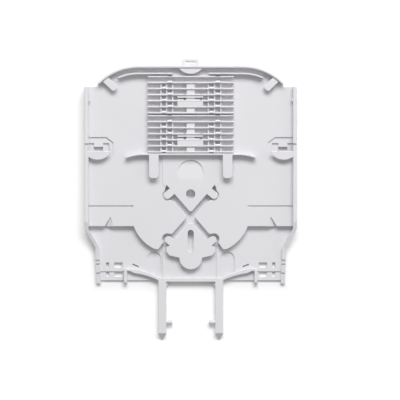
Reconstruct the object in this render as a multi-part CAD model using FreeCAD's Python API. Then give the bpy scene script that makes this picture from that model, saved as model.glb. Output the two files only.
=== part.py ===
"""Hinged fibre optic splice tray with two splice holders, in millimetres.

The tray lies flat with its open side up (+Z). +Y runs from the hinge arms to the pull loop.
It is drawn about the middle of its floor, and moved at the end so that the origin lies on the table
under the middle of the overall outline.
"""
import math
import os

import FreeCAD
import Part

V = FreeCAD.Vector

# Levels above the table
ledge_top = 1.3
deep_floor = 2.0
lip_top = 3.9
main_floor = 5.6
panel_top = 6.0
side_wall_top = 9.4
slant_wall_top = 4.5
foot_top = 2.0
rib_top = 10.0
rim_top = 10.4
half_moon_top = 9.5
corner_tab_top = 9.3
floor_thickness = 1.6
tab_thickness = 1.3

# Outline of the tray
half_width = 69.0
shoulder_y = 71.3
rim_y = 84.8
rim_radius = 37.4
rim_center_x = 33.9
rim_end_x = 60.2
step_y = -19.4
slant_top_y = -20.5
slant_low_x = 62.1
slant_low_y = -33.0
wall_fall_y = -16.0
foot_x = 61.2
foot_y = -56.6
lip_y = -55.6
ledge_y = -54.5
rim_wall = 1.4
side_wall = 2.6
edge_bevel = 0.3
floor_bevel = 0.2

# Pull loop
loop_width = 11.0
loop_y = 89.7
loop_thickness = 1.3
loop_slot_width = 7.0
loop_slot_y = (86.4, 88.1)

# Ribs that hold the splice holders
inner_rib_y = 79.7
inner_rib_thickness = 1.1
inner_rib_from_x = 11.7
inner_rib_end_angle = 113.5
stop_wall_y = 27.3
stop_wall_thickness = 1.2
stop_wall_straight_x = 31.0
stop_wall_bend_radius = 30.7
stop_wall_end_angle = 110.8

# Retaining tabs
finger_x = (20.8, 27.1)
finger_end_y = 11.7
corner_tab_at = (54.6, 75.2)
corner_tab_width = 4.6
corner_tab_length = 8.4
corner_tab_angle = -43.5
half_moon_radius = 9.9
half_moon_center_y = 89.3

# Crossover channels between the islands
cross_y = -13.4
cross_angle = 49.0
channel_width = 3.7
channel_length = 26.0
upper_channel_slant = 2.0
lower_channel_slant = -4.6
panel_tip_radius = 1.6
fan_tip_radius = 1.8
island_tip_radius = 2.4
bridge_at = 20.6
bridge_width = 4.8
upper_bridge_reach = 2.1
lower_bridge_reach = 1.1
pocket_reach = 2.2
pocket_radius = 3.4
upper_pocket_floor = 4.4
pocket_flare = 2.4
hole_y = 1.7
hole_radius = 3.0
hole_boss_radius = 4.6
slot_width = 3.9
slot_y = (-36.6, -21.7)
lobe_y = -40.0
lobe_radius = 7.4
thumb_y = 15.4
thumb_radius = 8.4
thumb_depth = 1.1

# Hinge arms
arm_x = (15.9, 21.1)
arm_end_y = -89.2
arm_tip_y = -93.2
arm_tip_width = 0.7
arm_tip_height = 0.5
peg_y = -81.8
peg_z = 2.1
peg_radius = 1.6
peg_length = 3.9

# Splice holders
holder_centers_y = (65.95, 40.55)
holder_half_length = 27.9
holder_pitch = 3.93
holder_ribs = 7
holder_rib_thickness = 1.0
holder_base = 0.8
holder_top = 10.0
holder_bar_top = 8.8
holder_bar_width = 0.9
holder_bars_x = (-19.3, -15.6, -11.7, 11.5, 15.5, 19.6)
holder_middle_bar = 2.65
hook_columns = ((-18.7, -16.1), (-15.0, -12.2), (12.1, 14.9), (16.1, 19.0))
hook_reach = 0.85


def outline(steps):
    """Make a flat face from steps: (x, y), (x, y, corner radius) or (x, y, arc mid x, arc mid y)."""
    edges = []
    count = len(steps)
    starts = []
    ends = []
    arcs = []
    for i in range(count):
        here = V(steps[i][0], steps[i][1], 0)
        radius = steps[i][2] if len(steps[i]) == 3 else 0
        if radius == 0:
            starts.append(here)
            ends.append(here)
            arcs.append(None)
            continue
        before = steps[i - 1]
        after = steps[(i + 1) % count]
        u = (V(before[0], before[1], 0) - here).normalize()
        w = (V(after[0], after[1], 0) - here).normalize()
        half = u.getAngle(w) / 2
        reach = radius / math.tan(half)
        bisector = (u + w).normalize()
        middle = here + bisector * (radius / math.sin(half) - radius)
        starts.append(here + u * reach)
        ends.append(here + w * reach)
        arcs.append(middle)
    for i in range(count):
        if arcs[i] is not None:
            edges.append(Part.Arc(starts[i], arcs[i], ends[i]).toShape())
        j = (i + 1) % count
        if len(steps[j]) == 4:
            middle = V(steps[j][2], steps[j][3], 0)
            edges.append(Part.Arc(ends[i], middle, starts[j]).toShape())
        elif (starts[j] - ends[i]).Length > 1e-6:
            edges.append(Part.makeLine(ends[i], starts[j]))
    return Part.Face(Part.Wire(edges))


def prism(steps, low, high):
    """Raise an outline from one level to another."""
    face = outline(steps)
    face.translate(V(0, 0, low))
    return face.extrude(V(0, 0, high - low))


def block(x0, x1, y0, y1, low, high):
    """A plain box between two corners."""
    return Part.makeBox(x1 - x0, y1 - y0, high - low, V(x0, y0, low))


def disc(x, y, radius, low, high):
    """An upright cylinder."""
    return Part.makeCylinder(radius, high - low, V(x, y, low))


def mirrored(shape):
    """The same shape on the other side of the tray."""
    return shape.mirror(V(0, 0, 0), V(1, 0, 0))


def both(shape):
    """A shape and its mirror image."""
    return [shape, mirrored(shape)]


def wall_section(inner, outer, low, high):
    """Cross-section of a standing wall with bevelled top edges, in the XZ plane."""
    b = edge_bevel
    corners = [
        V(inner, 0, low),
        V(outer, 0, low),
        V(outer, 0, high - b),
        V(outer - b, 0, high),
        V(inner + b, 0, high),
        V(inner, 0, high - b),
        V(inner, 0, low),
    ]
    return Part.Face(Part.makePolygon(corners))


def curved_wall(x, y, inner, outer, low, high, start, end):
    """A standing wall that follows an arc about an upright axis."""
    face = wall_section(inner, outer, low, high)
    wall = face.revolve(V(0, 0, 0), V(0, 0, 1), end - start)
    wall.rotate(V(0, 0, 0), V(0, 0, 1), start)
    wall.translate(V(x, y, 0))
    return wall


def straight_wall(x0, x1, y, thickness, low, high):
    """A standing wall along X with bevelled top edges."""
    face = wall_section(-thickness / 2, thickness / 2, low, high)
    face.rotate(V(0, 0, 0), V(0, 0, 1), 90)
    face.translate(V(x0, y, 0))
    return face.extrude(V(x1 - x0, 0, 0))


def bevel_level(solid, level, size):
    """Bevel every outer edge of a solid that lies at one level."""
    edges = []
    for edge in solid.Edges:
        box = edge.BoundBox
        if abs(box.ZMin - level) > 1e-4 or abs(box.ZMax - level) > 1e-4:
            continue
        faces = solid.ancestorsOfType(edge, Part.Face)
        if max(face.BoundBox.ZMax for face in faces) < level + 1e-4:
            edges.append(edge)
    return solid.makeChamfer(size, edges)


def along_channel(shape, angle):
    """Turn a shape made along +X about the crossing point and put it there."""
    placed = shape.copy()
    placed.rotate(V(0, 0, 0), V(0, 0, 1), angle)
    placed.translate(V(0, cross_y, 0))
    return placed


def make_plateau():
    """The main floor with the fans and the lower island, cut by the crossing channels."""
    rim_end_y = rim_y - rim_radius + math.sqrt(rim_radius ** 2 - (rim_end_x - rim_center_x) ** 2)
    turn = math.radians(67)
    rim_mid_x = rim_center_x + rim_radius * math.cos(turn)
    rim_mid_y = rim_y - rim_radius + rim_radius * math.sin(turn)
    steps = [
        (-rim_center_x, rim_y),
        (rim_center_x, rim_y),
        (rim_end_x, rim_end_y, rim_mid_x, rim_mid_y),
        (rim_end_x, shoulder_y),
        (half_width, shoulder_y),
        (half_width, step_y),
        (37.1, step_y),
        (23.6, -34.2, 32.0, -27.9),
        (21.0, -34.4),
        (18.6, -31.0),
        (0, cross_y),
        (-18.6, -31.0),
        (-21.0, -34.4),
        (-23.6, -34.2),
        (-37.1, step_y, -32.0, -27.9),
        (-half_width, step_y),
        (-half_width, shoulder_y),
        (-rim_end_x, shoulder_y),
        (-rim_end_x, rim_end_y),
        (-rim_center_x, rim_y, -rim_mid_x, rim_mid_y),
    ]
    floor = prism(steps, 0, main_floor)
    island_steps = [
        (0, cross_y + 3),
        (15.7, -31.5),
        (15.9, -35.8, 2.0),
        (13.9, -38.4, 1.5),
        (7.0, -40.0),
        (-7.0, -40.0),
        (-13.9, -38.4, 1.5),
        (-15.9, -35.8, 2.0),
        (-15.7, -31.5),
    ]
    island = prism(island_steps, 0, main_floor)
    island = island.fuse(disc(0, lobe_y, lobe_radius, 0, main_floor))
    panel_steps = [
        (-18.4, stop_wall_y),
        (18.4, stop_wall_y),
        (18.4, 9.0),
        (16.2, 5.3),
        (0, cross_y),
        (-16.2, 5.3),
        (-18.4, 9.0),
    ]
    panel = prism(panel_steps, main_floor - 1.0, panel_top)
    land = floor.fuse([island, panel])
    cuts = [make_crossing()]
    upper = make_channel(1, channel_length - upper_channel_slant, upper_channel_slant)
    cuts.extend(both(along_channel(upper, cross_angle)))
    lower = make_channel(-1, channel_length + 2.0, lower_channel_slant)
    cuts.extend(both(along_channel(lower, -cross_angle)))
    pocket = disc(bridge_at, pocket_reach, pocket_radius, deep_floor, panel_top + 1)
    cuts.extend(both(along_channel(pocket, -cross_angle)))
    land = land.cut(cuts).removeSplitter()
    land = bevel_level(land, main_floor, floor_bevel)
    land = bevel_level(land, panel_top, floor_bevel)
    pocket = disc(bridge_at, -pocket_reach, pocket_radius, upper_pocket_floor, main_floor + 1)
    return land.cut(both(along_channel(pocket, cross_angle)))


def make_crossing():
    """The open middle of the crossing, which rounds the tips of the panel, the fans and the island."""
    half = channel_width / 2
    c = math.cos(math.radians(cross_angle))
    s = math.sin(math.radians(cross_angle))
    top = (half + panel_tip_radius) / c
    side = (half + fan_tip_radius) / s
    low = -(half + island_tip_radius) / c
    top_x = panel_tip_radius * s
    top_y = top - panel_tip_radius * c
    side_x = side - fan_tip_radius * s
    side_y = fan_tip_radius * c
    low_x = island_tip_radius * s
    low_y = low + island_tip_radius * c
    steps = [
        (top_x, top_y, 0, top - panel_tip_radius),
        (side_x, side_y),
        (side_x, -side_y, side - fan_tip_radius, 0),
        (low_x, low_y),
        (-low_x, low_y, 0, low + island_tip_radius),
        (-side_x, -side_y),
        (-side_x, side_y, -side + fan_tip_radius, 0),
        (-top_x, top_y),
    ]
    middle = prism(steps, deep_floor, panel_top + 1)
    middle.translate(V(0, cross_y, 0))
    return middle


def make_channel(fan_side, length, slant):
    """One channel along +X, flared to its finger. The fan lies below it (1) or above it (-1)."""
    half = channel_width / 2
    high = panel_top + 1
    steps = [
        (0, -half * fan_side),
        (length, -half * fan_side),
        (length + slant, half * fan_side),
        (0, half * fan_side),
    ]
    channel = prism(steps, deep_floor, high)
    flare_y = half + pocket_flare
    reach = pocket_radius + pocket_flare
    flare_x = bridge_at - math.sqrt(reach ** 2 - (flare_y - pocket_reach) ** 2)
    share = pocket_flare / reach
    touch_x = flare_x + (bridge_at - flare_x) * share
    touch_y = flare_y + (pocket_reach - flare_y) * share
    middle_x = (touch_x + flare_x) / 2 - flare_x
    middle_y = (touch_y + half) / 2 - flare_y
    stretch = pocket_flare / math.hypot(middle_x, middle_y)
    middle_x = flare_x + middle_x * stretch
    middle_y = flare_y + middle_y * stretch
    flare_steps = [
        (flare_x, -half * fan_side, middle_x, -middle_y * fan_side),
        (bridge_at, -half * fan_side),
        (bridge_at, -pocket_reach * fan_side),
        (touch_x, -touch_y * fan_side),
    ]
    flare = prism(flare_steps, deep_floor, high)
    return channel.fuse(flare)


def make_bridges():
    """Four rounded fingers that reach across the channels to keep fibres down."""
    parts = []
    for reach, top, angle, side in (
        (upper_bridge_reach, panel_top, cross_angle, 1),
        (lower_bridge_reach, main_floor, -cross_angle, -1),
    ):
        half = bridge_width / 2
        root = (channel_width / 2 + 1.2) * side
        tip = -reach * side
        end = -(reach + half) * side
        steps = [
            (bridge_at - half, root),
            (bridge_at - half, tip),
            (bridge_at + half, tip, bridge_at, end),
            (bridge_at + half, root),
        ]
        finger = prism(steps, top - tab_thickness, top)
        finger = bevel_level(finger, top, floor_bevel)
        parts.extend(both(along_channel(finger, angle)))
    return parts


def make_deep_floor():
    """The low floor of the two lower corners and the middle, with its lip and ledges."""
    steps = [
        (-half_width, step_y + 2),
        (half_width, step_y + 2),
        (half_width, slant_top_y),
        (slant_low_x, slant_low_y),
        (foot_x, -48.7),
        (41.7, -48.7),
        (41.7, -47.8),
        (39.0, -47.8),
        (arm_x[1] - 0.8, -53.6, 30.1, -49.9),
        (-arm_x[1] + 0.8, -53.6),
        (-39.0, -47.8, -30.1, -49.9),
        (-41.7, -47.8),
        (-41.7, -48.7),
        (-foot_x, -48.7),
        (-slant_low_x, slant_low_y),
        (-half_width, slant_top_y),
    ]
    plate = prism(steps, 0, deep_floor)
    lip_steps = [
        (38.6, -46.9, 30.4, -48.6),
        (42.0, -46.9),
        (42.0, -48.6),
        (39.6, -48.6),
        (37.2, -49.9, 38.8, -49.0),
        (arm_x[1] - 0.8, -55.0, 29.7, -51.4),
        (arm_x[1] - 0.8, lip_y),
        (-arm_x[1] + 0.8, lip_y),
        (-arm_x[1] + 0.8, -55.0),
        (-37.2, -49.9, -29.7, -51.4),
        (-39.6, -48.6, -38.8, -49.0),
        (-42.0, -48.6),
        (-42.0, -46.9),
        (-38.6, -46.9),
        (-arm_x[1] + 0.8, -53.0, -30.4, -48.6),
        (arm_x[1] - 0.8, -53.0),
    ]
    lip = prism(lip_steps, 0, lip_top)
    lip = bevel_level(lip, lip_top, edge_bevel)
    parts = [plate, lip]
    ledge = block(-foot_x, -20, ledge_y, -47.5, 0, ledge_top)
    parts.extend(both(ledge))
    post = block(-43.4, -41.4, -56.2, -47.2, 0, lip_top)
    post = bevel_level(post, lip_top, edge_bevel)
    parts.extend(both(post))
    guide = block(-18.5, -16.7, -53.6, -31.5, 0.5, deep_floor + 0.5)
    guide = bevel_level(guide, deep_floor + 0.5, floor_bevel)
    parts.extend(both(guide))
    return parts


def make_walls():
    """The rim, the side walls, the two inner ribs and the stop wall under the splice holders."""
    center_y = rim_y - rim_radius
    inner = rim_radius - rim_wall
    parts = [straight_wall(-rim_center_x, rim_center_x, rim_y - rim_wall / 2, rim_wall, 0, rim_top)]
    end = math.degrees(math.acos((rim_center_x - rim_end_x) / rim_radius))
    corner = curved_wall(-rim_center_x, center_y, inner, rim_radius, 0, rim_top, 90, end)
    parts.extend(both(corner))
    low = main_floor - 0.4
    half = inner_rib_thickness / 2
    rib_inner = inner_rib_y - center_y - half
    rib_outer = inner_rib_y - center_y + half
    rib = straight_wall(-rim_center_x, -inner_rib_from_x, inner_rib_y, inner_rib_thickness, low, rib_top)
    parts.extend(both(rib))
    bend = curved_wall(
        -rim_center_x, center_y, rib_inner, rib_outer, low, rib_top, 90, inner_rib_end_angle)
    parts.extend(both(bend))
    half = stop_wall_thickness / 2
    x = stop_wall_straight_x
    parts.append(straight_wall(-x, x, stop_wall_y, stop_wall_thickness, low, rib_top))
    radius = stop_wall_bend_radius
    bend = curved_wall(
        -x, stop_wall_y - radius, radius - half, radius + half, low, rib_top, 90, stop_wall_end_angle)
    parts.extend(both(bend))
    steps = [
        (-half_width, shoulder_y),
        (-half_width, slant_top_y),
        (-slant_low_x, slant_low_y),
        (-foot_x, foot_y),
        (-foot_x + side_wall, foot_y),
        (-slant_low_x + side_wall, slant_low_y - 0.5),
        (-half_width + side_wall, slant_top_y - 0.5),
        (-half_width + side_wall, shoulder_y),
    ]
    side = prism(steps, 0, side_wall_top)
    side = bevel_level(side, side_wall_top, edge_bevel)
    outside = -half_width - 1
    high = side_wall_top + 1
    fall = [
        V(outside, wall_fall_y, side_wall_top),
        V(outside, slant_low_y, slant_wall_top),
        V(outside, foot_y - 1, foot_top),
        V(outside, foot_y - 1, high),
        V(outside, wall_fall_y, high),
        V(outside, wall_fall_y, side_wall_top),
    ]
    cuts = [Part.Face(Part.makePolygon(fall)).extrude(V(15, 0, 0))]
    cuts.append(block(outside, -55, 33.6, 34.4, side_wall_top - 2.6, high))
    for y in (-41.5, -44.0, -49.9):
        cuts.append(block(outside, -55, y - 0.4, y + 0.4, ledge_top, high))
    side = side.cut(cuts)
    bump = disc(-half_width + side_wall, 62.7, 0.9, main_floor - 0.4, side_wall_top - 0.3)
    parts.extend(both(side.fuse(bump)))
    return parts


def make_tabs():
    """The overhanging tabs that keep coiled fibre below the rim."""
    parts = []
    low = rib_top - tab_thickness
    x0 = -finger_x[1]
    x1 = -finger_x[0]
    finger_steps = [
        (x0, stop_wall_y),
        (x0, finger_end_y, 2.2),
        (x1, finger_end_y, 2.2),
        (x1, stop_wall_y),
    ]
    finger = prism(finger_steps, low, rib_top)
    finger = bevel_level(finger, rib_top, edge_bevel)
    parts.extend(both(finger))
    half = corner_tab_width / 2
    corner_steps = [
        (-1.2, -half),
        (corner_tab_length, -half, 1.6),
        (corner_tab_length, half, 1.6),
        (-1.2, half),
    ]
    corner = prism(corner_steps, corner_tab_top - tab_thickness, corner_tab_top)
    corner = bevel_level(corner, corner_tab_top, edge_bevel)
    corner.rotate(V(0, 0, 0), V(0, 0, 1), corner_tab_angle)
    corner.translate(V(-corner_tab_at[0], corner_tab_at[1], 0))
    parts.extend(both(corner))
    low = half_moon_top - tab_thickness
    moon = disc(0, half_moon_center_y, half_moon_radius, low, half_moon_top)
    moon = moon.common(block(-20, 20, 70, rim_y - 0.5, 0, 20))
    moon = bevel_level(moon, half_moon_top, edge_bevel)
    parts.append(moon)
    lip_steps = [
        (-half_width + 1.0, 29.4),
        (-half_width + 1.0, 25.9),
        (-66.8, 25.9),
        (-52.4, 27.6, -58.8, 23.8),
        (-51.8, 29.4),
    ]
    latch_lip = prism(lip_steps, side_wall_top - tab_thickness, side_wall_top)
    latch_lip = bevel_level(latch_lip, side_wall_top, edge_bevel)
    parts.extend(both(latch_lip))
    return parts


def make_arms():
    """The two hinge arms with their inward pegs and root webs."""
    arm = block(-arm_x[1], -arm_x[0], arm_end_y, -53.5, 0, lip_top)
    arm = bevel_level(arm, lip_top, edge_bevel)
    middle_x = -(arm_x[0] + arm_x[1]) / 2
    tip_steps = [
        (-arm_x[1], arm_end_y),
        (middle_x - arm_tip_width / 2, arm_tip_y),
        (middle_x + arm_tip_width / 2, arm_tip_y),
        (-arm_x[0], arm_end_y),
    ]
    slope = [
        V(-40, arm_end_y, lip_top - edge_bevel),
        V(-40, arm_tip_y, arm_tip_height),
        V(-40, arm_tip_y, 0),
        V(-40, arm_end_y, 0),
        V(-40, arm_end_y, lip_top - edge_bevel),
    ]
    wedge = Part.Face(Part.makePolygon(slope)).extrude(V(40, 0, 0))
    arm = arm.fuse(prism(tip_steps, 0, lip_top).common(wedge))
    peg_root = V(-arm_x[0] - 1.0, peg_y, peg_z)
    peg = Part.makeCylinder(peg_radius, peg_length + 1.0 - edge_bevel, peg_root, V(1, 0, 0))
    tip_root = V(-arm_x[0] + peg_length - edge_bevel, peg_y, peg_z)
    tip = Part.makeCone(peg_radius, peg_radius - edge_bevel, edge_bevel, tip_root, V(1, 0, 0))
    peg = peg.fuse(tip)
    web_steps = [
        (-arm_x[0] - 0.5, lip_y + 0.5),
        (-arm_x[0] - 0.5, -62.2),
        (-arm_x[0], -62.2),
        (-10.6, lip_y, -14.5, -56.9),
        (-10.6, lip_y + 0.5),
    ]
    web = prism(web_steps, 0.8, 2.2)
    return both(arm) + both(peg) + both(web)


def make_loop():
    """The pull loop on the outer edge of the rim."""
    half = loop_width / 2
    steps = [
        (-half, rim_y - 0.5),
        (half, rim_y - 0.5),
        (half, loop_y, 1.4),
        (-half, loop_y, 1.4),
    ]
    loop = prism(steps, 0, loop_thickness)
    half = loop_slot_width / 2
    slot_steps = [
        (-half, loop_slot_y[0], 0.7),
        (half, loop_slot_y[0], 0.7),
        (half, loop_slot_y[1], 0.7),
        (-half, loop_slot_y[1], 0.7),
    ]
    loop = loop.cut(prism(slot_steps, -1, loop_thickness + 1))
    return bevel_level(loop, loop_thickness, edge_bevel)


def underside_pockets():
    """Hollows that leave the raised floors one wall thick, with ribs between them."""
    high = main_floor - floor_thickness
    top_steps = [
        (-66.6, 69.6),
        (-57.0, 69.6),
        (-38.0, 82.4, 4),
        (-0.8, 82.4, 2),
        (-0.8, 29.0, 2),
        (-48.6, 29.0, 2),
        (-48.6, 40.5),
        (-66.6, 40.5, 2),
    ]
    side_steps = [
        (-66.6, 22.4, 2),
        (-66.6, -10.5, 2),
        (-38.2, -10.5, 2),
        (-38.2, 26.0, 2),
        (-48.6, 26.0),
        (-48.6, 22.4),
    ]
    panel_steps = [
        (-36.4, 26.0, 2),
        (-0.8, 26.0, 2),
        (-0.8, 8.6, 2),
        (-13.6, 8.6),
        (-19.0, 11.5),
        (-26.5, 4.5),
        (-36.4, 4.5, 2),
    ]
    fan_steps = [
        (-36.4, 2.8, 2),
        (-24.0, 2.8),
        (-9.2, -13.6),
        (-12.6, -20.2),
        (-20.6, -22.4),
        (-23.4, -30.6),
        (-29.8, -25.6),
        (-36.4, -14.6),
    ]
    island_steps = [
        (-13.9, -34.4),
        (-13.9, -36.0),
        (-7.4, -37.9),
        (-3.7, -37.9),
        (-3.7, -22.8),
    ]
    left = [top_steps, side_steps, panel_steps, fan_steps, island_steps]
    pockets = []
    for steps in left:
        pockets.extend(both(prism(steps, -1, high)))
    return pockets


def make_cuts():
    """Holes, slots, grooves and recesses in the floors."""
    cuts = [disc(0, hole_y, hole_radius, -1, panel_top + 1)]
    half = slot_width / 2
    slot = block(-half, half, slot_y[0] + half, slot_y[1] - half, -1, main_floor + 1)
    cuts.append(slot)
    cuts.append(disc(0, slot_y[0] + half, half, -1, main_floor + 1))
    cuts.append(disc(0, slot_y[1] - half, half, -1, main_floor + 1))
    thumb = Part.makeCylinder(thumb_radius, 4, V(0, 0, 0))
    fade = 0.55 * thumb_radius
    tilt = math.degrees(math.atan(thumb_depth / (thumb_radius + fade)))
    thumb.rotate(V(0, -fade, 0), V(1, 0, 0), -tilt)
    thumb.translate(V(0, thumb_y, panel_top))
    cuts.append(thumb)
    groove = block(-half_width + 1.0, -37.2, -7.0, -5.8, main_floor - 0.9, main_floor + 1)
    cuts.extend(both(groove))
    front_y = step_y - 0.6
    high = main_floor + 0.01
    front_low = V(-56.4, front_y, 2.6)
    front_up = V(-56.4, front_y, high)
    back_low = V(-52.2, -13.2, 4.9)
    back_up = V(-52.2, -13.2, high)
    side = V(-50.0, front_y, high)
    ramp_sides = (
        (front_low, front_up, back_up, back_low),
        (front_low, back_low, side),
        (front_low, side, front_up),
        (front_up, side, back_up),
        (back_low, back_up, side),
    )
    faces = []
    for corners in ramp_sides:
        faces.append(Part.Face(Part.makePolygon(list(corners) + [corners[0]])))
    ramp = Part.makeSolid(Part.makeShell(faces))
    cuts.extend(both(ramp))
    arch_steps = [
        (-28.6, -50.0),
        (-19.2, -50.0),
        (-19.2, -40.6),
        (-28.6, -40.6, -23.9, -35.9),
    ]
    cuts.extend(both(prism(arch_steps, deep_floor - 0.8, deep_floor + 1)))
    for x0, x1 in ((-55.1, -53.0), (-49.7, -44.4)):
        cuts.extend(both(block(x0, x1, -46.5, -42.9, -1, deep_floor + 1)))
        cuts.extend(both(block(x0, x1, -52.4, -48.8, -1, deep_floor + 1)))
    slit = block(-2.1, 2.1, -0.45, 0.45, -1, deep_floor + 1)
    slit.rotate(V(0, 0, 0), V(0, 0, 1), -22)
    slit.translate(V(-35.8, -44.9, 0))
    cuts.extend(both(slit))
    pad_steps = [
        (-half_width + 1.0, 38.6),
        (-half_width + 1.0, 24.6),
        (-50.2, 24.6, 2.5),
        (-50.2, 35.2),
        (-54.8, 38.6),
    ]
    cuts.extend(both(prism(pad_steps, main_floor - 0.9, main_floor + 1)))
    pit_steps = [
        (-half_width + 1.0, 34.7),
        (-62.9, 34.7),
        (-62.9, 32.3),
        (-57.0, 32.3),
        (-57.0, 34.7),
        (-53.0, 34.7),
        (-52.0, 26.6),
        (-half_width + 1.0, 26.6),
    ]
    cuts.extend(both(prism(pit_steps, main_floor - 2.0, main_floor + 1)))
    cuts.extend(both(block(-62.9, -57.0, 28.6, 32.3, 2.3, main_floor + 1)))
    return cuts


def make_tray():
    """The whole tray as one moulding."""
    plateau = make_plateau()
    body = plateau.fuse(make_deep_floor())
    body = body.cut(underside_pockets())
    boss = disc(0, hole_y, hole_boss_radius, 0, main_floor)
    body = body.fuse(boss)
    body = body.cut(make_cuts())
    adds = make_bridges() + make_walls() + make_tabs() + make_arms()
    adds.append(make_loop())
    body = body.fuse(adds)
    return body.removeSplitter()


def make_holder(center_y):
    """One splice holder: a comb of ribs on a base plate, with cross bars and retaining hooks."""
    span = holder_pitch * (holder_ribs - 1) / 2
    half = holder_rib_thickness / 2
    length = holder_half_length
    base = block(-length, length, -span - half, span + half, main_floor, main_floor + holder_base)
    parts = []
    rib_y = []
    for i in range(holder_ribs):
        y = span - i * holder_pitch
        rib_y.append(y)
        rib = straight_wall(-length, length, y, holder_rib_thickness, main_floor, holder_top)
        parts.append(rib)
    cuts = []
    low = main_floor + 0.2
    for x in holder_bars_x:
        w = holder_bar_width / 2
        parts.append(block(x - w, x + w, rib_y[6], rib_y[1], low, holder_bar_top))
    w = holder_middle_bar
    parts.append(block(-w, w, rib_y[6], rib_y[1], low, holder_bar_top + 0.2))
    parts.append(block(-8.6, 8.1, rib_y[5], rib_y[4] + 1.15, low, holder_top - 0.15))
    parts.append(block(-8.6, 8.1, rib_y[4] + 2.0, rib_y[3], low, holder_top - 1.4))
    parts.append(block(-8.6, 8.1, rib_y[4] + 2.0, rib_y[4] + 3.0, low, holder_top - 0.2))
    for i in range(1, holder_ribs):
        columns = (1, 3) if i % 2 == 1 else (0, 2)
        for c in columns:
            x0 = hook_columns[c][0]
            x1 = hook_columns[c][1]
            face_y = rib_y[i] + half
            profile = [
                V(x0, face_y - 0.3, holder_top - 1.6),
                V(x0, face_y, holder_top - 1.6),
                V(x0, face_y + hook_reach, holder_top - 0.7),
                V(x0, face_y + hook_reach, holder_top - 0.3),
                V(x0, face_y, holder_top + 0.1),
                V(x0, face_y - 0.3, holder_top + 0.1),
                V(x0, face_y - 0.3, holder_top - 1.6),
            ]
            hook = Part.Face(Part.makePolygon(profile)).extrude(V(x1 - x0, 0, 0))
            parts.append(hook)
            back_y = rib_y[i] - half
            cuts.append(block(x0, x1, back_y - 0.1, back_y + 0.45, main_floor + 1.5, holder_top + 1))
    holder = base.fuse(parts)
    sockets = (
        (-4.5, -3.2, -0.3, 1.0),
        (-4.5, -3.2, -3.4, -1.8),
        (6.1, 7.3, -0.3, 1.0),
        (6.1, 7.3, -3.4, -1.8),
    )
    for x0, x1, y0, y1 in sockets:
        cuts.append(block(x0, x1, y0, y1, main_floor + holder_base, holder_top + 1))
    for c in (1, 3):
        x0 = hook_columns[c][0]
        x1 = hook_columns[c][1]
        cuts.append(block(x0, x1, rib_y[0] + 0.1, rib_y[0] + 2, main_floor + 1.5, holder_top + 1))
    holder = holder.cut(cuts).removeSplitter()
    holder.translate(V(0, center_y, 0))
    return holder


def main():
    """Build the three pieces and write one file for each."""
    os.makedirs("parts", exist_ok=True)
    nodes = {
        "tray": make_tray(),
        "splice_holder_upper": make_holder(holder_centers_y[0]),
        "splice_holder_lower": make_holder(holder_centers_y[1]),
    }
    for name in nodes:
        shape = nodes[name]
        shape.translate(V(0, -(loop_y + arm_tip_y) / 2, 0))
        solid = shape.Solids[0]
        volume = round(solid.Volume, 1)
        print(name, "solids", len(shape.Solids), "valid", shape.isValid(), "volume", volume)
        solid.exportStep("parts/" + name + ".step")


main()
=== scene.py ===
import math

import bmesh
import bpy
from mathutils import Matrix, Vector


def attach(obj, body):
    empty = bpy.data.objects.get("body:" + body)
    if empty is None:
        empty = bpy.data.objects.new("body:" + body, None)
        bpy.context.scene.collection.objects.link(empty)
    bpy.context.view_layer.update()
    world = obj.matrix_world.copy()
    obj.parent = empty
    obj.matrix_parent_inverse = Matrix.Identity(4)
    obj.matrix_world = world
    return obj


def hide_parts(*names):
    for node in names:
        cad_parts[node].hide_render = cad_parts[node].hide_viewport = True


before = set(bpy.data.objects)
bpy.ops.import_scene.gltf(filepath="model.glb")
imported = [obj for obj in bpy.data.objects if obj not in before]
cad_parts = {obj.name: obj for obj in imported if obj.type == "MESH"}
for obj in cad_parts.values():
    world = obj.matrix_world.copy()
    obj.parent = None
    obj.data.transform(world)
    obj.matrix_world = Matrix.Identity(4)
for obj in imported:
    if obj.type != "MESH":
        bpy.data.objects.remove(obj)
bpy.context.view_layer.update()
scene = bpy.context.scene

# Camera straight above the tray: 260 mm fill the picture's width
VIEW_WIDTH = 0.260
CAMERA_HEIGHT = 2.4
CAMERA_AIM = (0.00605, -0.00055, 0.005)
SENSOR_WIDTH = 36.0
CLIP_START = 0.01

# Merged copies of the solids: how near corners are joined, the angle from which an edge stays
# sharp, and the range of the upward slope that marks the faces of the edge bevels, which get
# a painted highlight
MERGE_DISTANCE = 1e-6
SHARP_ANGLE = math.radians(28)
BEVEL_UP = (0.66, 0.75)

# Plastic: the tone's slow drift, then the fine grain, its depth and its spread of gloss
PLASTIC_IOR = 1.5
DRIFT_SCALE = 38.0
DRIFT_DETAIL = 4.0
DRIFT_ROUGHNESS = 0.5
GRAIN_DETAIL = 3.0
GRAIN_ROUGHNESS = 0.6
GRAIN_DEPTH = 0.00005
GLOSS_SPREAD = 0.16

# Table: half its side, its white to the camera, and its white to the light that it throws back
TABLE_HALF = 2.0
PAPER_ROUGHNESS = 0.9
PAPER_WHITE = 0.92
PAPER_BOUNCE = 0.68

# Table: middle and half size of the area within which it doesn't glow, how far beyond that the
# glow is full, and the full glow
COVER_MIDDLE = (0.0, 0.0165, 0.0)
COVER_HALF = (0.0585, 0.0705, 0.0)
GLOW_REACH = 0.009
GLOW_MOST = 0.17

# Light: the room's strength, then each lamp's place (degrees to the right of the pull loop,
# degrees above the table, metres away), its width and height, and its watts
ROOM_STRENGTH = 0.36
KEY_LAMP = ((9, 47, 2.0), (1.62, 0.81), 36.8)
SIDE_LAMP = ((90, 25, 2.4), (1.4, 0.8), 5.0)

WHITE = (1.0, 1.0, 1.0, 1.0)


def feed(tree, socket, value):
    """Link a socket to another node's output, or set it to a plain value."""
    if isinstance(value, bpy.types.NodeSocket):
        tree.links.new(value, socket)
    else:
        socket.default_value = value


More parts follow.
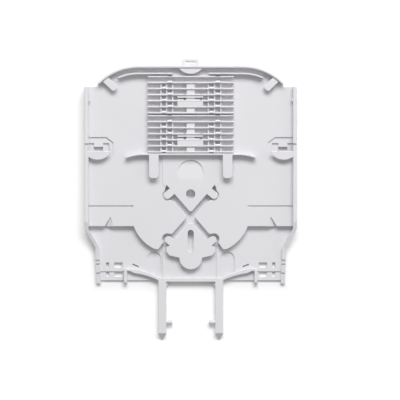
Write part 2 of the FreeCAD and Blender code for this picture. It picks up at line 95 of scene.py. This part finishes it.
def math_node(tree, operation, *values, kind="ShaderNodeMath"):
    """A math node on values or other nodes' outputs. Returns its result."""
    node = tree.nodes.new(kind)
    node.operation = operation
    for socket, value in zip(node.inputs, values):
        feed(tree, socket, value)
    return node.outputs[0]


def vector_node(tree, operation, *values):
    """The same for vectors."""
    return math_node(tree, operation, *values, kind="ShaderNodeVectorMath")


def noise_node(tree, where, scale, detail, roughness):
    """A noise pattern at a place. Returns its value."""
    node = tree.nodes.new("ShaderNodeTexNoise")
    feed(tree, node.inputs["Vector"], where)
    feed(tree, node.inputs["Scale"], scale)
    feed(tree, node.inputs["Detail"], detail)
    feed(tree, node.inputs["Roughness"], roughness)
    return node.outputs["Fac"]


def value_ramp(tree, source, from_high, low, high):
    """A value that goes from low to high as the source goes from zero to from_high."""
    node = tree.nodes.new("ShaderNodeMapRange")
    feed(tree, node.inputs["Value"], source)
    feed(tree, node.inputs["From Min"], 0.0)
    feed(tree, node.inputs["From Max"], from_high)
    feed(tree, node.inputs["To Min"], low)
    feed(tree, node.inputs["To Max"], high)
    return node.outputs["Result"]


def grain_and_highlight_group():
    """Fine grain, a slow drift of tone and a painted highlight on edge bevels, for a moulded
    plastic.
    """
    group = bpy.data.node_groups.new("grain_and_painted_highlight", "ShaderNodeTree")
    inputs = (
        ("Color", "NodeSocketColor", (0.74, 0.74, 0.75, 1.0)),
        ("Roughness", "NodeSocketFloat", 0.45),
        ("Grain Size", "NodeSocketFloat", 2600.0),
        ("Tone Drift", "NodeSocketFloat", 0.06),
        ("Painted Edge Highlight", "NodeSocketFloat", 0.05),
    )
    for name, kind, value in inputs:
        socket = group.interface.new_socket(name, in_out="INPUT", socket_type=kind)
        socket.default_value = value
    outputs = (
        ("Color", "NodeSocketColor"),
        ("Roughness", "NodeSocketFloat"),
        ("Height", "NodeSocketFloat"),
    )
    for name, kind in outputs:
        group.interface.new_socket(name, in_out="OUTPUT", socket_type=kind)
    entry = group.nodes.new("NodeGroupInput").outputs
    leave = group.nodes.new("NodeGroupOutput").inputs
    where = group.nodes.new("ShaderNodeTexCoord").outputs["Object"]

    drift = noise_node(group, where, DRIFT_SCALE, DRIFT_DETAIL, DRIFT_ROUGHNESS)
    centred = math_node(group, "SUBTRACT", drift, 0.5)
    swing = math_node(group, "MULTIPLY_ADD", centred, entry["Tone Drift"], 1.0)
    # Painted highlight: the marked bevel faces are made lighter than the rest of the plastic
    bevel = group.nodes.new("ShaderNodeAttribute")
    bevel.attribute_name = "bevel"
    tone = math_node(group, "MULTIPLY_ADD", bevel.outputs["Fac"], entry["Painted Edge Highlight"], swing)
    color = group.nodes.new("ShaderNodeVectorMath")
    color.operation = "SCALE"
    feed(group, color.inputs["Vector"], entry["Color"])
    feed(group, color.inputs["Scale"], tone)
    feed(group, leave["Color"], color.outputs["Vector"])

    grain = noise_node(group, where, entry["Grain Size"], GRAIN_DETAIL, GRAIN_ROUGHNESS)
    gloss = math_node(group, "MULTIPLY_ADD", grain, GLOSS_SPREAD, entry["Roughness"])
    feed(group, leave["Roughness"], gloss)
    feed(group, leave["Height"], grain)
    return group


def moulded_plastic(name, grain_group, color, roughness, grain_size, bump):
    """A moulded plastic with its own tone, gloss and grain, and painted highlights on its bevels.
    """
    material = bpy.data.materials.new(name)
    material.use_nodes = True
    tree = material.node_tree
    shader = tree.nodes["Principled BSDF"]
    shader.inputs["IOR"].default_value = PLASTIC_IOR
    surface = tree.nodes.new("ShaderNodeGroup")
    surface.node_tree = grain_group
    surface.inputs["Color"].default_value = color
    surface.inputs["Roughness"].default_value = roughness
    surface.inputs["Grain Size"].default_value = grain_size
    relief = tree.nodes.new("ShaderNodeBump")
    relief.inputs["Strength"].default_value = bump
    relief.inputs["Distance"].default_value = GRAIN_DEPTH
    feed(tree, relief.inputs["Height"], surface.outputs["Height"])
    feed(tree, shader.inputs["Base Color"], surface.outputs["Color"])
    feed(tree, shader.inputs["Roughness"], surface.outputs["Roughness"])
    feed(tree, shader.inputs["Normal"], relief.outputs["Normal"])
    return material


def smooth_copy(node_name, piece_name, material):
    """A merged copy standing for a solid, with smooth curves and bevels marked for a painted
    highlight.
    """
    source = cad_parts[node_name]
    shape = bmesh.new()
    shape.from_mesh(source.data)
    bmesh.ops.remove_doubles(shape, verts=shape.verts, dist=MERGE_DISTANCE)
    shape.normal_update()
    # Marks the bevel faces, which the plastic lightens as a painted highlight
    bevel = shape.faces.layers.float.new("bevel")
    for face in shape.faces:
        face.smooth = True
        face[bevel] = 1.0 if BEVEL_UP[0] < face.normal.z < BEVEL_UP[1] else 0.0
    for edge in shape.edges:
        edge.smooth = edge.calc_face_angle(0) < SHARP_ANGLE
    mesh = bpy.data.meshes.new(piece_name)
    shape.to_mesh(mesh)
    shape.free()
    mesh.materials.append(material)
    piece = bpy.data.objects.new(piece_name, mesh)
    scene.collection.objects.link(piece)
    even = piece.modifiers.new("even_normals", "WEIGHTED_NORMAL")
    even.keep_sharp = True
    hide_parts(node_name)
    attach(piece, "root")


def white_paper():
    """White paper that glows for the camera alone, from the edge of the tray outwards."""
    paper = bpy.data.materials.new("white_paper")
    paper.use_nodes = True
    tree = paper.node_tree
    shader = tree.nodes["Principled BSDF"]
    shader.inputs["Roughness"].default_value = PAPER_ROUGHNESS
    shader.inputs["Specular IOR Level"].default_value = 0.0
    shader.inputs["Emission Color"].default_value = WHITE
    camera_ray = tree.nodes.new("ShaderNodeLightPath").outputs["Is Camera Ray"]
    white = value_ramp(tree, camera_ray, 1.0, PAPER_BOUNCE, PAPER_WHITE)
    feed(tree, shader.inputs["Base Color"], white)

    where = tree.nodes.new("ShaderNodeTexCoord").outputs["Object"]
    aside = vector_node(tree, "SUBTRACT", where, COVER_MIDDLE)
    folded = vector_node(tree, "ABSOLUTE", aside)
    beyond = vector_node(tree, "SUBTRACT", folded, COVER_HALF)
    sides = tree.nodes.new("ShaderNodeSeparateXYZ")
    feed(tree, sides.inputs["Vector"], beyond)
    gap = math_node(tree, "MAXIMUM", sides.outputs["X"], sides.outputs["Y"])
    glow = value_ramp(tree, gap, GLOW_REACH, 0.0, GLOW_MOST)
    seen_glow = math_node(tree, "MULTIPLY", glow, camera_ray)
    feed(tree, shader.inputs["Emission Strength"], seen_glow)
    return paper


def white_table():
    """A plain white table top under the tray."""
    shape = bmesh.new()
    bmesh.ops.create_grid(shape, x_segments=1, y_segments=1, size=TABLE_HALF)
    mesh = bpy.data.meshes.new("table_top")
    shape.to_mesh(mesh)
    shape.free()
    mesh.materials.append(white_paper())
    table = bpy.data.objects.new("table_top", mesh)
    scene.collection.objects.link(table)


def soft_lamp(name, lamp):
    """A wide soft lamp that points at the frame's origin, under the middle of the tray."""
    (turn, rise, reach), (width, height), watts = lamp
    turn = math.radians(turn)
    rise = math.radians(rise)
    level = reach * math.cos(rise)
    place = Vector((level * math.sin(turn), level * math.cos(turn), reach * math.sin(rise)))
    data = bpy.data.lights.new(name, "AREA")
    data.shape = "RECTANGLE"
    data.size = width
    data.size_y = height
    data.energy = watts
    light = bpy.data.objects.new(name, data)
    light.location = place
    light.rotation_euler = (-place).to_track_quat("-Z", "Y").to_euler()
    scene.collection.objects.link(light)


def studio():
    """Even room light, a soft lamp from beyond the pull loop and a weak low one from the right."""
    world = bpy.data.worlds.new("room")
    scene.world = world
    world.use_nodes = True
    room = world.node_tree.nodes["Background"]
    room.inputs["Color"].default_value = WHITE
    room.inputs["Strength"].default_value = ROOM_STRENGTH
    soft_lamp("key_lamp", KEY_LAMP)
    soft_lamp("side_lamp", SIDE_LAMP)


def photo_camera():
    """The camera straight above the tray, with the pull loop at the top of the picture."""
    data = bpy.data.cameras.new("camera")
    data.sensor_width = SENSOR_WIDTH
    data.lens = SENSOR_WIDTH * (CAMERA_HEIGHT - CAMERA_AIM[2]) / VIEW_WIDTH
    data.clip_start = CLIP_START
    camera = bpy.data.objects.new("camera", data)
    camera.location = (CAMERA_AIM[0], CAMERA_AIM[1], CAMERA_HEIGHT)
    scene.collection.objects.link(camera)
    scene.camera = camera


grain = grain_and_highlight_group()
tray_plastic = moulded_plastic(
    "tray_plastic",
    grain,
    color=(0.742, 0.732, 0.757, 1.0),
    roughness=0.42,
    grain_size=2600.0,
    bump=0.25,
)
holder_plastic = moulded_plastic(
    "holder_plastic",
    grain,
    color=(0.748, 0.739, 0.762, 1.0),
    roughness=0.36,
    grain_size=3200.0,
    bump=0.2,
)

smooth_copy("tray", "tray_moulding", tray_plastic)
smooth_copy("splice_holder_upper", "upper_holder_moulding", holder_plastic)
smooth_copy("splice_holder_lower", "lower_holder_moulding", holder_plastic)

white_table()
studio()
photo_camera()
scene.view_settings.view_transform = "Standard"
